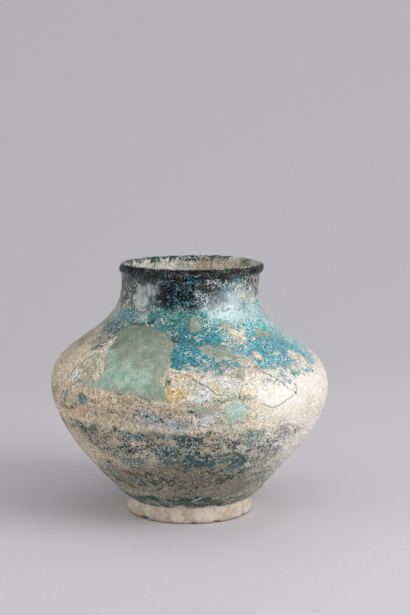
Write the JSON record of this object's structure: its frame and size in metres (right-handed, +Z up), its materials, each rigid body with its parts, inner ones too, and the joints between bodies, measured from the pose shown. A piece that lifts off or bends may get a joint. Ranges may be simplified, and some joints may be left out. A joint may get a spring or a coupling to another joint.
{
  "type": "ceramic vase",
  "caption": "Wide-shouldered glazed ceramic vase with a rolled lip, rebuilt from glued sherds and plaster fills on a bare foot ring; holds stems or stands as a display jar.",
  "frame": {"origin": "centre of the circle that the foot ring rests on", "axes": "+Z up along the vase's axis, -Y towards the side that the picture shows, +X to that side's right"},
  "size_m": [0.1717, 0.1717, 0.1554],
  "materials": {
    "turquoise_glaze": "weathered turquoise glaze, glossy where it is left, with pale flaked spots",
    "worn_glaze": "glaze worn and clouded to cream and grey, with dark teal specks",
    "dark_glaze": "thick glaze turned near black on the lip, teal and clouded white below it",
    "plaster_fill": "plaster fill toned grey-green to the glaze, matt",
    "bare_clay": "unglazed buff clay, matt and chipped"
  },
  "bodies": {
    "root": {"foot_ring": "bare_clay", "lower_body": "worn_glaze", "shoulder_sherd_left": "worn_glaze", "shoulder_sherd_small": "worn_glaze", "plaster_fill_large": "plaster_fill", "belly_sherd_front": "worn_glaze", "shoulder_sherd_front": "turquoise_glaze", "shoulder_sherd_front_right": "turquoise_glaze", "belly_sherd_right": "worn_glaze", "shoulder_sherd_right": "turquoise_glaze", "shoulder_sherd_back_right": "worn_glaze", "shoulder_sherd_back": "turquoise_glaze", "shoulder_sherd_back_left": "worn_glaze", "plaster_fill_disc": "plaster_fill", "plaster_fill_sliver": "plaster_fill", "plaster_fill_wedge": "plaster_fill", "plaster_fill_leaf": "plaster_fill", "plaster_fill_patch": "plaster_fill", "plaster_fill_plug": "plaster_fill", "neck": "dark_glaze"}
  },
  "joints": []
}
